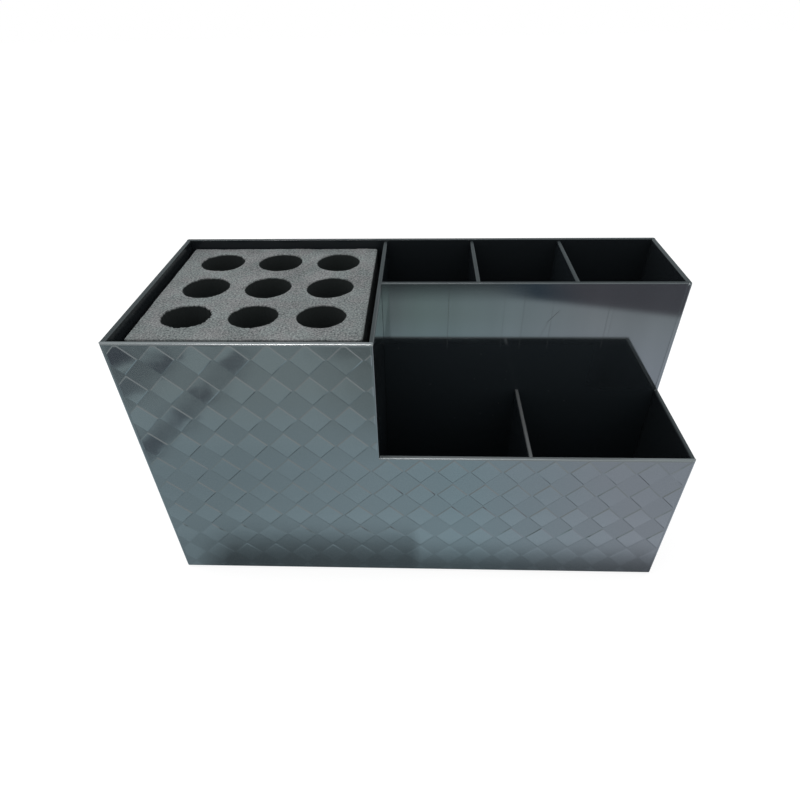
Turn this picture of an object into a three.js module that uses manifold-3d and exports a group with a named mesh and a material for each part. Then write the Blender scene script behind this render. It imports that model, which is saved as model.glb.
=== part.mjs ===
// A barber's tool holder: a two-tier case of glossy black sheet. Its tall left bay
// holds a block of foam punched for scissors and combs, three tall bays stand
// behind for clippers, and two low bays lie in front of them.
// Millimetres, +Z up, the patterned front towards -Y. The origin is on the surface
// that the holder stands on, under the middle of the case.

import * as THREE from 'three';
import { mergeGeometries, mergeVertices } from 'three/addons/utils/BufferGeometryUtils.js';
import Module from 'manifold-3d';

const wasm = await Module();
wasm.setup();

// The case
const caseWidth = 260;
const caseDepth = 114; // over the raised diamonds of the front
const caseHeight = 146; // from the panels' lower edges to the upper rim
const sheet = 2; // thickness of every panel
const cornerRadius = 1.6; // upright outer corners, kept within the sheet
const towerWidth = 113; // left bay, over the side panel and the partition
const lowHeight = 84; // rim of the front tier
const lowDepth = 56.5; // front face to the front of the middle wall
const dividerDrop = 1; // partition and rear dividers stop this far below the rim
const rearBayShare = 0.325; // first and second rear bays, of the clear width there
const frontBayShare = 0.491; // left front bay, of the clear width there

// The diamond pattern on the front
const diamondPitch = 15.7; // across the points, the same both ways
const diamondRelief = 0.25; // how far the diamonds stand proud
const diamondGap = 0.3; // between the points of neighbours
const diamondBevel = 0.3; // sloped border of each diamond
const firstColumn = 6.8; // left edge to the first column of centres
const firstRow = 7.6; // upper rim to the first row of centres
const patternBorder = 0.8; // plain border under the rims, at the step and at the foot
const patternSide = 2; // plain border beside the rounded corners

// The foam block
const foamGapLeft = 2.5;
const foamGapRight = 3.5;
const foamGapFront = 8.75;
const foamGapBack = 1;
const foamRecess = 4.5; // rim down to the foam's top
const foamSeatGap = 0.3; // clearance over the base plate
const holeDiameter = 22.2;
const holePitchShare = 0.303; // spacing of the holes, of the foam's side
const holeShiftX = 0.5; // the hand-punched grid sits off the block's middle
const holeShiftY = 0.8;
const holeColumns = 3;
const holeRows = 3;

// The feet
const footDiameter = 12;
const footThickness = 1;
const footChamfer = 0.2;
const footInset = 14; // outer faces of the case to a foot's centre

const overrun = 1; // how far one body runs into another before they are joined
const cornerSegments = 6;
const holeSegments = 32;
const footSegments = 32;

// Faces that several pieces meet, measured from the case's front left lower corner
const frontInside = diamondRelief + sheet;
const backInside = caseDepth - sheet;
const leftInside = sheet;
const rightInside = caseWidth - sheet;
const insideDepth = backInside - frontInside;
const partitionLeft = towerWidth - sheet;
const middleBack = lowDepth + sheet;
const baseTop = sheet;
const dividerTop = caseHeight - dividerDrop;

const holder = new THREE.Group();
const caseGroup = new THREE.Group();
caseGroup.position.set(-caseWidth / 2, -caseDepth / 2, footThickness);
holder.add(caseGroup);

// Finishes
function glossSheet() {
  return new THREE.MeshStandardMaterial({ color: 0x15181a, roughness: 0.16, metalness: 0 });
}

function greyFoam() {
  return new THREE.MeshStandardMaterial({ color: 0x6d6e70, roughness: 0.95, metalness: 0 });
}

function blackRubber() {
  return new THREE.MeshStandardMaterial({ color: 0x1b1b1c, roughness: 0.8, metalness: 0 });
}

function place(name, geometry, material, x, y, z) {
  const mesh = new THREE.Mesh(geometry, material);
  mesh.name = name;
  mesh.position.set(x, y, z);
  caseGroup.add(mesh);
}

// Solids for the joins and cuts
function solidOf(geometry) {
  const bare = geometry.clone();
  bare.deleteAttribute('normal');
  bare.deleteAttribute('uv');
  const merged = mergeVertices(bare);
  return new wasm.Manifold(new wasm.Mesh({
    numProp: 3,
    vertProperties: new Float32Array(merged.attributes.position.array),
    triVerts: new Uint32Array(merged.index.array),
  }));
}

function geometryOf(solid) {
  const mesh = solid.getMesh();
  const geometry = new THREE.BufferGeometry();
  geometry.setAttribute('position', new THREE.BufferAttribute(mesh.vertProperties, mesh.numProp));
  geometry.setIndex(new THREE.BufferAttribute(mesh.triVerts, 1));
  geometry.computeVertexNormals();
  return geometry;
}

// A sheet whose lowest corner is at its own origin
function board(width, depth, height) {
  return new THREE.BoxGeometry(width, depth, height).translate(width / 2, depth / 2, height / 2);
}

// An outline given across and up, as a plate that reaches back from its own origin
function frontPlate(points, thickness) {
  const outline = new THREE.Shape(points.map(([across, up]) => new THREE.Vector2(across, up)));
  const plate = new THREE.ExtrudeGeometry(outline, { depth: thickness, bevelEnabled: false });
  return plate.rotateX(Math.PI / 2).translate(0, thickness, 0);
}

// The same outline as a plate that reaches to the right, its points given back and up
function sidePlate(points, thickness) {
  const outline = new THREE.Shape(points.map(([back, up]) => new THREE.Vector2(back, up)));
  const plate = new THREE.ExtrudeGeometry(outline, { depth: thickness, bevelEnabled: false });
  return plate.rotateX(Math.PI / 2).rotateZ(Math.PI / 2);
}

// The front's stepped outline, drawn in from the case's edges
function frontOutline(side, edge) {
  return [
    [side, edge],
    [caseWidth - side, edge],
    [caseWidth - side, lowHeight - edge],
    [towerWidth - edge, lowHeight - edge],
    [towerWidth - edge, caseHeight - edge],
    [side, caseHeight - edge],
  ];
}

// An upright prism over the case's plain footprint, with its rounded corners
function roundedFootprint() {
  const radius = Math.min(cornerRadius, sheet);
  const right = caseWidth - radius;
  const front = diamondRelief + radius;
  const back = caseDepth - radius;
  const outline = new THREE.Shape();
  outline.absarc(radius, front, radius, Math.PI, 1.5 * Math.PI);
  outline.absarc(right, front, radius, 1.5 * Math.PI, 2 * Math.PI);
  outline.absarc(right, back, radius, 0, 0.5 * Math.PI);
  outline.absarc(radius, back, radius, 0.5 * Math.PI, Math.PI);
  const prism = { depth: caseHeight + 2 * overrun, bevelEnabled: false, curveSegments: cornerSegments };
  return solidOf(new THREE.ExtrudeGeometry(outline, prism).translate(0, 0, -overrun));
}

// One raised diamond: its face to the front, its border sloping back to the plain
// face, and its root straight into the sheet behind
function raisedDiamond(across, up) {
  const root = (diamondPitch - diamondGap) / 2;
  const profile = [
    [0, 0],
    [root - diamondBevel, 0],
    [root, diamondRelief],
    [root, diamondRelief + sheet / 2],
    [0, diamondRelief + sheet / 2],
  ];
  const points = profile.map(([radius, depth]) => new THREE.Vector2(radius, depth));
  return new THREE.LatheGeometry(points, 4).translate(across, 0, up);
}

// Raised diamonds on a square lattice, cut off where the plain border starts
function diamondField() {
  const diamonds = [];
  const reach = diamondPitch / 2;
  for (let up = caseHeight - firstRow; up > -reach; up -= diamondPitch) {
    for (let across = firstColumn; across < caseWidth + reach; across += diamondPitch) {
      diamonds.push(raisedDiamond(across, up));
    }
  }
  const bordered = frontPlate(frontOutline(patternSide, patternBorder), frontInside + overrun);
  const field = solidOf(bordered.translate(0, -overrun, 0));
  return solidOf(mergeGeometries(diamonds)).intersect(field);
}

// Outer panels: the front and the back lap the ends of the side panels
function frontPanel() {
  const plate = solidOf(frontPlate(frontOutline(0, 0), sheet).translate(0, diamondRelief, 0));
  return geometryOf(plate.intersect(roundedFootprint()).add(diamondField()));
}

function backPanel() {
  const plate = solidOf(board(caseWidth, sheet, caseHeight).translate(0, backInside, 0));
  return geometryOf(plate.intersect(roundedFootprint()));
}

function rightPanel() {
  const step = lowDepth - frontInside;
  const outline = [
    [0, 0],
    [insideDepth, 0],
    [insideDepth, caseHeight],
    [step, caseHeight],
    [step, lowHeight],
    [0, lowHeight],
  ];
  return sidePlate(outline, sheet);
}

place('front_panel', frontPanel(), glossSheet(), 0, 0, 0);
place('back_panel', backPanel(), glossSheet(), 0, 0, 0);
place('left_panel', board(sheet, insideDepth, caseHeight), glossSheet(), 0, frontInside, 0);
place('right_panel', rightPanel(), glossSheet(), rightInside, frontInside, 0);
place(
  'base_plate',
  board(rightInside - leftInside, insideDepth, sheet),
  glossSheet(),
  leftInside,
  frontInside,
  0,
);

// Inner walls, standing on the base plate
place(
  'bay_partition',
  board(sheet, insideDepth, dividerTop - baseTop),
  glossSheet(),
  partitionLeft,
  frontInside,
  baseTop,
);
place(
  'middle_wall',
  board(rightInside - towerWidth, sheet, caseHeight - baseTop),
  glossSheet(),
  towerWidth,
  lowDepth,
  baseTop,
);

const rearBay = (rightInside - towerWidth - 2 * sheet) * rearBayShare;
['rear_divider_left', 'rear_divider_right'].forEach((name, index) => {
  place(
    name,
    board(sheet, backInside - middleBack, dividerTop - baseTop),
    glossSheet(),
    towerWidth + rearBay + index * (rearBay + sheet),
    middleBack,
    baseTop,
  );
});

const frontBay = (rightInside - towerWidth - sheet) * frontBayShare;
place(
  'front_divider',
  board(sheet, lowDepth - frontInside, lowHeight - baseTop),
  glossSheet(),
  towerWidth + frontBay,
  frontInside,
  baseTop,
);

// The foam block: it stands loose in the left bay, its holes punched right through
function foamBlock(width, depth, height) {
  const outline = new THREE.Shape([
    new THREE.Vector2(0, 0),
    new THREE.Vector2(width, 0),
    new THREE.Vector2(width, depth),
    new THREE.Vector2(0, depth),
  ]);
  for (let column = 0; column < holeColumns; column += 1) {
    for (let row = 0; row < holeRows; row += 1) {
      const across = width * (0.5 + (column - (holeColumns - 1) / 2) * holePitchShare) + holeShiftX;
      const back = depth * (0.5 + (row - (holeRows - 1) / 2) * holePitchShare) + holeShiftY;
      const hole = new THREE.Path();
      hole.absarc(across, back, holeDiameter / 2, 0, 2 * Math.PI);
      outline.holes.push(hole);
    }
  }
  return new THREE.ExtrudeGeometry(outline, {
    depth: height,
    bevelEnabled: false,
    curveSegments: holeSegments / 2,
  });
}

place(
  'foam_insert',
  foamBlock(
    partitionLeft - leftInside - foamGapLeft - foamGapRight,
    insideDepth - foamGapFront - foamGapBack,
    caseHeight - foamRecess - baseTop - foamSeatGap,
  ),
  greyFoam(),
  leftInside + foamGapLeft,
  frontInside + foamGapFront,
  baseTop + foamSeatGap,
);

// Thin round pads stuck under the corners of the base plate
function footPad() {
  const radius = footDiameter / 2;
  const profile = [
    [0, -footThickness],
    [radius - footChamfer, -footThickness],
    [radius, footChamfer - footThickness],
    [radius, 0],
    [0, 0],
  ];
  const points = profile.map(([across, up]) => new THREE.Vector2(across, up));
  return new THREE.LatheGeometry(points, footSegments).rotateX(Math.PI / 2);
}

const footPlaces = {
  foot_front_left: [footInset, footInset],
  foot_front_right: [caseWidth - footInset, footInset],
  foot_back_left: [footInset, caseDepth - footInset],
  foot_back_right: [caseWidth - footInset, caseDepth - footInset],
};
for (const [name, [across, back]] of Object.entries(footPlaces)) {
  place(name, footPad(), blackRubber(), across, back, 0);
}

export default holder;
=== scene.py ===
import math

import bmesh
import bpy
import numpy as np
from mathutils import Matrix, Vector


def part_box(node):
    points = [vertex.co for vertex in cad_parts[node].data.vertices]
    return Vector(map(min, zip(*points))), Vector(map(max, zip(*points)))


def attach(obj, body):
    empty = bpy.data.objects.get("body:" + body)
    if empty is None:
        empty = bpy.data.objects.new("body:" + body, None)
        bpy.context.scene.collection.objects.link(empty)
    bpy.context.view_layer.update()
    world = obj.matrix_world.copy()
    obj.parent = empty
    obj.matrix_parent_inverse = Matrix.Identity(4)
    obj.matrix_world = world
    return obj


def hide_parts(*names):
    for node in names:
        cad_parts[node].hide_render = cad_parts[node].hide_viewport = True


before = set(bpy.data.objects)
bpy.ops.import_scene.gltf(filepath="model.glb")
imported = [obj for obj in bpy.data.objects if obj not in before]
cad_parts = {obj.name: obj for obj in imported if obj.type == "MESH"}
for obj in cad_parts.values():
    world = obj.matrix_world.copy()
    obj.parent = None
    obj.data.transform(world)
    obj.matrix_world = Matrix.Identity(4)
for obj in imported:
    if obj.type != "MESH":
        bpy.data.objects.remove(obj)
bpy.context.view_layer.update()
mm = 0.001
scene = bpy.context.scene


# Camera, floor, light

camera = {
    "lens": 25.434,
    "sensor": 36,
    "shift": (-0.00317, 0.02296),
    "place": (2.686, -252.151, 265.377),  # millimetres, in the holder's own frame
    "yaw": 2.459,
    "pitch": 38.616,  # degrees below the horizon
    "roll": -1.128,
}


def makeCamera():
    data = bpy.data.cameras.new("camera")
    data.sensor_width = camera["sensor"]
    data.lens = camera["lens"]
    data.shift_x, data.shift_y = camera["shift"]
    data.clip_start = 0.01
    eye = bpy.data.objects.new("camera", data)
    scene.collection.objects.link(eye)
    turn = Matrix.Rotation(math.radians(camera["yaw"]), 4, "Z")
    tilt = Matrix.Rotation(math.radians(90 - camera["pitch"]), 4, "X")
    roll = Matrix.Rotation(math.radians(camera["roll"]), 4, "Z")
    place = Matrix.Translation([value * mm for value in camera["place"]])
    eye.matrix_world = place @ turn @ tilt @ roll
    scene.camera = eye


# Short forms for material nodes

def put(tree, kind, inputs=(), **settings):
    node = tree.nodes.new("ShaderNode" + kind)
    for name, value in settings.items():
        setattr(node, name, value)
    pairs = inputs.items() if isinstance(inputs, dict) else enumerate(inputs)
    for key, value in pairs:
        if isinstance(value, bpy.types.NodeSocket):
            tree.links.new(value, node.inputs[key])
        elif value is not None:
            node.inputs[key].default_value = value
    return node


def calc(tree, operation, first, second=None):
    return put(tree, "Math", [first, second], operation=operation).outputs[0]


def times(tree, first, *others):
    # the product of all the values
    for other in others:
        first = calc(tree, "MULTIPLY", first, other)
    return first


def larger(tree, first, second):
    return calc(tree, "MAXIMUM", first, second)


def parts(tree, place):
    # the three coordinates of a place or a direction
    return put(tree, "SeparateXYZ", [place]).outputs


def ramp(tree, value, low, high, toLow=0.0, toHigh=1.0):
    # straight from toLow to toHigh while the value runs from low to high, held outside
    return put(tree, "MapRange", [value, low, high, toLow, toHigh]).outputs[0]


def mixValue(tree, share, first, second):
    return put(tree, "Mix", [share, None, first, second]).outputs[0]


def mixColour(tree, share, first, second):
    inputs = {0: share, 6: first, 7: second}
    return put(tree, "Mix", inputs, data_type="RGBA").outputs[2]


def colourAlong(tree, value, stops):
    # straight mixes from one colour to the next at the given places
    result = stops[0][1]
    for (before, _), (after, colour) in zip(stops, stops[1:]):
        result = mixColour(tree, ramp(tree, value, before, after), result, colour)
    return result


def noiseAt(tree, place, scale, detail):
    return put(tree, "TexNoise", {"Vector": place, "Scale": scale, "Detail": detail}).outputs[0]


def grey(value, cool=0.0):
    # a grey with a little less red and more blue as cool grows
    return (value * (1 - cool), value, value * (1 + cool), 1)


black, white = grey(0), grey(1)


def emptyTree(owner):
    owner.use_nodes = True
    owner.node_tree.nodes.clear()
    return owner.node_tree


def objectPlace(tree):
    return put(tree, "TexCoord").outputs["Object"]


def group(name, inputs, outputs):
    tree = bpy.data.node_groups.new(name, "ShaderNodeTree")
    for label in inputs:
        kind = "NodeSocketVector" if label == "Vector" else "NodeSocketFloat"
        tree.interface.new_socket(label, in_out="INPUT", socket_type=kind)
    for label in outputs:
        tree.interface.new_socket(label, in_out="OUTPUT", socket_type="NodeSocketFloat")
    given, out = tree.nodes.new("NodeGroupInput"), tree.nodes.new("NodeGroupOutput")
    return tree, given.outputs, out.inputs


def use(tree, effect, inputs):
    node = tree.nodes.new("ShaderNodeGroup")
    node.node_tree = effect
    for key, value in inputs.items():
        if isinstance(value, bpy.types.NodeSocket):
            tree.links.new(value, node.inputs[key])
        else:
            node.inputs[key].default_value = value
    return node.outputs


# Effects that several finishes share

def makeSpecks():
    # round specks: the heart of a cell shows where that cell's own chance is under Share
    tree, given, out = group("specks", ["Vector", "Scale", "Size", "Share"], ["Mask"])
    cell = put(tree, "TexVoronoi", {"Vector": given["Vector"], "Scale": given["Scale"]})
    chance = put(tree, "SeparateColor", [cell.outputs["Color"]]).outputs[0]
    chosen = calc(tree, "LESS_THAN", chance, given["Share"])
    near = ramp(tree, cell.outputs["Distance"], given["Size"], 0.0)
    tree.links.new(times(tree, chosen, near), out["Mask"])
    return tree


def makeScratches():
    # long thin bands of a stretched noise, in two crossing directions
    tree, given, out = group("scratches", ["Vector", "Scale", "Width"], ["Mask"])
    total = 0.0
    for turn, stretch in ((0.6, (1, 1, 14)), (-0.9, (11, 1, 1))):
        inputs = {"Vector": given["Vector"], "Rotation": (turn, turn / 2, turn), "Scale": stretch}
        noise = noiseAt(tree, put(tree, "Mapping", inputs).outputs[0], given["Scale"], 1)
        away = calc(tree, "ABSOLUTE", calc(tree, "SUBTRACT", noise, 0.5))
        total = larger(tree, total, ramp(tree, away, given["Width"], 0.0))
    tree.links.new(total, out["Mask"])
    return tree


def makeWaves():
    # the slow waviness of pressed sheet, with a fainter shorter wave on it
    tree, given, out = group("waves", ["Vector", "Scale"], ["Height"])
    slow = noiseAt(tree, given["Vector"], given["Scale"], 0)
    quick = noiseAt(tree, given["Vector"], times(tree, given["Scale"], 4), 1)
    tree.links.new(calc(tree, "ADD", slow, times(tree, quick, 0.12)), out["Height"])
    return tree


def makeGrain():
    # fine even grain: a short noise for the height, a rounder one for the tone
    tree, given, out = group("grain", ["Vector", "Scale"], ["Height", "Tone"])
    inputs = {"Vector": given["Vector"], "Scale": given["Scale"], "Detail": 3, "Roughness": 0.65}
    tree.links.new(put(tree, "TexNoise", inputs).outputs[0], out["Height"])
    tone = noiseAt(tree, given["Vector"], times(tree, given["Scale"], 0.45), 2)
    tree.links.new(tone, out["Tone"])
    return tree


specks = makeSpecks()
scratches = makeScratches()
waves = makeWaves()
grain = makeGrain()


def speckMask(tree, place, scale, size, share):
    inputs = {"Vector": place, "Scale": scale, "Size": size, "Share": share}
    return use(tree, specks, inputs)["Mask"]


def grainAt(tree, place, scale, output="Tone"):
    return use(tree, grain, {"Vector": place, "Scale": scale})[output]


def finish(name, colour, roughness, height=None, bump=0.3, depth=0.02, **sockets):
    # a material around one Principled shader; plain numbers go straight to its sockets
    material = bpy.data.materials.new(name)
    tree = emptyTree(material)
    shader = put(tree, "BsdfPrincipled")
    put(tree, "OutputMaterial", {"Surface": shader.outputs[0]})
    place = objectPlace(tree)
    tree.links.new(colour(tree, place), shader.inputs["Base Color"])
    tree.links.new(roughness(tree, place), shader.inputs["Roughness"])
    if height:
        inputs = {"Strength": bump, "Distance": depth * mm, "Height": height(tree, place)}
        tree.links.new(put(tree, "Bump", inputs).outputs[0], shader.inputs["Normal"])
    for socket, value in sockets.items():
        slot = shader.inputs[socket.replace("_", " ")]
        if callable(value):
            tree.links.new(value(tree, place), slot)
        else:
            slot.default_value = value
    return material


def grainTone(tree, place, settings, name=None):
    # the grain's tone, from 0 to 1 or between the two values of that name
    tone = grainAt(tree, place, settings["grainScale"])
    return ramp(tree, tone, 0.3, 0.7, *settings.get(name, (0, 1)))


def grainyFinish(name, settings, colour, **sockets):
    # a matt material whose roughness and height follow its own grain
    def roughness(tree, place):
        return grainTone(tree, place, settings, "roughness")

    def height(tree, place):
        return grainAt(tree, place, settings["grainScale"], "Height")
    return finish(name, colour, roughness, height, *settings["bump"], **sockets)


def attribute(tree, name):
    return put(tree, "Attribute", attribute_name=name).outputs["Fac"]


gloss = {
    "body": grey(0.0095, 0.05),
    "inside": (0.0135, 0.0175, 0.0205, 1),
    "dust": grey(0.16, 0.02),
    "dustShare": 0.4,
    "rim": (0.017, 0.022, 0.024, 1),
    "roughness": (0.068, 0.1275),
    "cloudScale": 34,
    "rimRoughness": 0.3,  # added on worn rims
    "ior": 1.5,
    "specular": 0.25,
    "coatIor": 2.7,  # the polished outside mirrors more than the insides of the bays
    "wornCoat": 0.15,  # what is left of it on worn rims
    "sideCoat": 0.5,
    "sideBody": 0.3,
    "rimCoat": 0.5,
    # how far the front divider's rim is whitened: partly a worn cut edge, partly painted light
    "rimWearAndLight": 1.4,
    "coatRoughness": 0.06,
    "waveScale": 22,
    "waveDepth": 0.9,
    "wornWaves": 0.3,
    "speckScale": 420,
    "speckSize": 0.16,
    "speckShare": 0.05,
    "scratchScale": 28,
    "scratchWidth": 0.0035,
    "scuff": 0.14,
}


def dusted(tree, place, colour, bareness):
    mask = speckMask(
        tree, place, gloss["speckScale"], gloss["speckSize"], gloss["speckShare"])
    dust = times(tree, mask, bareness, gloss["dustShare"])
    return mixColour(tree, dust, colour, gloss["dust"])


def glossColour(tree, place, polished):
    plain = mixColour(tree, polished, gloss["inside"], gloss["body"])
    worn = mixColour(tree, attribute(tree, "edge"), plain, gloss["rim"])
    return dusted(tree, place, worn, attribute(tree, "outer"))


def glossRoughness(tree, place):
    cloudy = noiseAt(tree, place, gloss["cloudScale"], 3)
    base = ramp(tree, cloudy, 0.35, 0.75, *gloss["roughness"])
    inputs = {"Vector": place, "Scale": gloss["scratchScale"], "Width": gloss["scratchWidth"]}
    scuff = times(tree, use(tree, scratches, inputs)["Mask"], gloss["scuff"])
    rim = times(tree, attribute(tree, "edge"), gloss["rimRoughness"])
    return calc(tree, "ADD", calc(tree, "ADD", base, scuff), rim)


def glossHeight(tree, place):
    slow = use(tree, waves, {"Vector": place, "Scale": gloss["waveScale"]})["Height"]
    return times(tree, slow, ramp(tree, attribute(tree, "edge"), 0, 1, 1, gloss["wornWaves"]))


def glossCoat(tree, place):
    worn = ramp(tree, attribute(tree, "edge"), 0, 1, 1, gloss["wornCoat"])
    return times(tree, attribute(tree, "outer"), worn)


# Where the walls behind the low tier stand free and are polished, in metres
freeWall = {
    "high": (0.112, 0.118),
    "cornerX": (0.088, 0.1),
    "cornerZ": (0.084, 0.09),
    "frontY": (0.0012, 0.0004),
    "edgeX": (0.12, 0.125),
    "edgeY": (0.0001, -0.0002),
    "edgeZ": (0.084, 0.086),
}


def sideCoat(tree, place):
    # less on the sides and back, but full on the front edge of the right wall above its step
    across = parts(tree, place)
    edge = times(tree, *[ramp(tree, across[way], *freeWall["edge" + way]) for way in "XYZ"])
    share = ramp(tree, edge, 0, 1, gloss["sideCoat"], 1)
    return times(tree, glossCoat(tree, place), share)


def rimCoat(tree, place):
    return times(tree, attribute(tree, "edge"), gloss["rimCoat"])


# the front divider's rim whitened, partly a worn cut edge and partly painted light on its shaded
# top
def rimWearAndLight(tree, place):
    return times(tree, attribute(tree, "edge"), gloss["rimWearAndLight"])


def steppedCoat(tree, place):
    # the walls behind the low tier: polished where they stand free, duller down in the bays
    across = parts(tree, place)
    high = ramp(tree, across["Z"], *freeWall["high"])
    corner = times(tree, *[ramp(tree, across[way], *freeWall["corner" + way]) for way in "XZ"])
    ahead = ramp(tree, across["Y"], *freeWall["frontY"])
    return times(tree, glossCoat(tree, place), larger(tree, high, corner), ahead)


wallMarks = {
    # faint upright lines in the pressed sheet: place along the wall and depth of the line
    "lines": ((15.6, 0.4), (42.9, 0.2), (52.5, 0.28), (66.6, 0.3), (94.0, 0.35), (96.2, 0.2)),
    "lineSpan": (112, 144),  # the heights between which they show, in millimetres
    "lineWidth": 0.35,
    "fade": 2,
    # one hooked scratch: lower end across and up, then its reach across and up
    "scratches": ((62.4, 118.5, 3.2, 8.5, 0.3), (65.6, 127.0, 3.6, 4.5, 0.85)),
    "streak": 0.1,
    "streakScale": 70,
    "streakStretch": (1, 1, 0.08),
    # how far marks whiten the sheet: real marks on the middle wall, painted light on the front
    # divider's rim
    "dust": 0.05,
    "waveDepth": 1.6,
    "specular": 0.08,
}


def hairline(tree, across, level, lean, low, high):
    # 1 along a thin line that passes through level, 0 beside it and outside low to high
    x = calc(tree, "SUBTRACT", across["X"], times(tree, across["Z"], lean))
    away = calc(tree, "ABSOLUTE", calc(tree, "SUBTRACT", x, level * mm))
    fade = wallMarks["fade"]
    return times(tree, ramp(tree, away, wallMarks["lineWidth"] * mm, 0),
                 ramp(tree, across["Z"], (low - fade) * mm, low * mm),
                 ramp(tree, across["Z"], (high + fade) * mm, high * mm))


def wallScratches(tree, place):
    # faint upright lines, and one hooked scratch
    across = parts(tree, place)
    lines = [(x, 0, *wallMarks["lineSpan"], depth) for x, depth in wallMarks["lines"]]
    for x, z, reach, rise, depth in wallMarks["scratches"]:
        lean = reach / rise
        lines.append((x - z * lean, lean, z, z + rise, depth))
    marks = 0.0
    for *line, depth in lines:
        marks = larger(tree, marks, times(tree, hairline(tree, across, *line), depth))
    return marks


def rearWallCoat(tree, place):
    # the middle wall: duller along its marks, and in soft upright streaks
    stretch = put(tree, "Mapping", {"Vector": place, "Scale": wallMarks["streakStretch"]})
    noise = noiseAt(tree, stretch.outputs[0], wallMarks["streakScale"], 2)
    streak = ramp(tree, noise, 0.3, 0.7, 1 - wallMarks["streak"], 1)
    unmarked = calc(tree, "SUBTRACT", 1.0, wallScratches(tree, place))
    return times(tree, steppedCoat(tree, place), unmarked, streak)


def makeGloss(name, coat=glossCoat, body=None, depth=gloss["waveDepth"], marks=None,
              specular=gloss["specular"]):
    def colour(tree, place):
        plain = glossColour(tree, place, coat(tree, place) if body is None else body)
        if not marks:
            return plain
        # whitened by marks: pressing marks on the middle wall, partly painted light on the front
        # divider's rim
        share = times(tree, marks(tree, place), wallMarks["dust"])
        return mixColour(tree, share, plain, white)
    return finish(
        name, colour, glossRoughness, glossHeight, 1.0, depth,
        IOR=gloss["ior"], Specular_IOR_Level=specular, Coat_Weight=coat, Coat_IOR=gloss["coatIor"],
        Coat_Roughness=gloss["coatRoughness"],
    )


# Sheet panels

panel = {
    "seam": 0.12,  # softened edge where two sheets meet
    "rimFront": 0.8,
    "rimOutside": 0.42,
    "rimInside": 0.35,
    "sideRimInside": 0.8,
    "upright": 1.6,  # the case's four upright corners
    "foot": 0.4,
    "dividerTop": 0.8,
    "stepFront": 0.6,
    "cornerArc": 0.35,  # rounding of a rim's corner seen square to the sheet
    "smallArc": 0.06,  # and of every other corner
    "roundSteps": 12,
    "arcSteps": 4,
    "hold": 0.5,  # from an arc's end to the point that holds the edge beside it straight
}
planeAxes = {0: (1, 2), 1: (0, 2), 2: (0, 1)}  # the two directions in a sheet, by its thin one


def corners(node):
    low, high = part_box(node)
    return np.array(low), np.array(high)


def drawnIn(depth, radius):
    # a quarter round of this radius draws an edge in by r - sqrt(r2 - (r - depth)2)
    left = np.clip(radius - np.clip(depth, 0, None), 0, None)
    return radius - np.sqrt(radius ** 2 - left ** 2)


def depthLevels(thickness, near, far):
    # depths into the sheet, closest together where the rounded edges turn fastest
    share = 1 - np.cos(np.linspace(0, np.pi / 2, panel["roundSteps"] + 1))
    levels = np.concatenate((near.max() * share, thickness - far.max() * share))
    return np.unique(levels.round(8))


def sheetArrays(outline, edges, arcs, axis, low, thickness, outer=(0, 0)):
    # Outlines stacked through the sheet. At each depth every edge is drawn in by its own
    # two roundings, and every corner is a small arc between its two edges. An edge's third
    # number is how worn it is, and its fourth how far it is polished as an outside.
    near, far, wear, polish = np.array(edges).T
    near, far = near * mm, far * mm
    levels = depthLevels(thickness, near, far)
    along = np.roll(outline, -1, 0) - outline
    along /= np.linalg.norm(along, axis=1, keepdims=True)
    inward = np.stack((-along[:, 1], along[:, 0]), 1)
    inset = drawnIn(levels[:, None], near) + drawnIn(thickness - levels[:, None], far)
    before = np.roll(np.arange(len(outline)), 1)
    corner = outline + inward * inset[..., None] + inward[before] * inset[:, before, None]
    radius = (np.array(arcs) * mm)[:, None]
    centre = corner + radius * (along - along[before])
    turn = np.linspace(0, np.pi / 2, panel["arcSteps"] + 1)[:, None]
    arm = along[:, None] * np.cos(turn) - along[before][:, None] * np.sin(turn)
    arc = centre[:, :, None] - radius[:, None] * arm
    # one more point beside each end of the arc keeps the long edges straight in the light
    hold = panel["hold"] * mm
    first = arc[:, :, :1] - along[before][:, None] * hold
    last = arc[:, :, -1:] + along[:, None] * hold
    flat = np.concatenate((first, arc, last), 2).reshape(len(levels), -1, 2)
    points = np.empty(flat.shape[:2] + (3,))
    points[..., axis] = low + levels[:, None]
    points[..., list(planeAxes[axis])] = flat
    side = np.where(levels[:, None] < thickness / 2, near, far)
    passing = np.concatenate(([0], np.linspace(0, 1, panel["arcSteps"] + 1), [1]))
    rounded = wear * (1 - inset / side) ** 1.5
    worn = rounded[:, before, None] * (1 - passing) + rounded[..., None] * passing
    share = levels[:, None] / thickness
    edgeOn = polish * (1 - (inset / side) ** 4)
    free = np.maximum(outer[0] * (1 - share) + outer[1] * share, edgeOn)
    outside = free[:, before, None] * (1 - passing) + free[..., None] * passing
    return points, worn.reshape(len(levels), -1), outside.reshape(len(levels), -1)


def ringFaces(rows, columns):
    # quads between each stacked outline and the next, closed round the outline
    row, column = np.meshgrid(np.arange(rows - 1), np.arange(columns), indexing="ij")
    after = (column + 1) % columns
    quads = (row * columns + column, row * columns + after,
             (row + 1) * columns + after, (row + 1) * columns + column)
    return np.stack(quads, -1).reshape(-1, 4)


def setAttribute(mesh, name, values):
    layer = mesh.attributes.get(name) or mesh.attributes.new(name, "FLOAT", "POINT")
    layer.data.foreach_set("value", np.asarray(values, np.float32).ravel())


def meshPoints(mesh):
    points = np.empty(len(mesh.vertices) * 3, np.float32)
    mesh.vertices.foreach_get("co", points)
    return points.reshape(-1, 3).astype(float)


def addPiece(name, mesh, material, body, slot, *nodes):
    mesh.materials.clear()
    mesh.materials.append(material)
    piece = bpy.data.objects.new(name, mesh)
    scene.collection.objects.link(piece)
    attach(piece, body)
    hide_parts(*nodes)
    print(name, len(mesh.polygons), "faces")
    return piece


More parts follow.
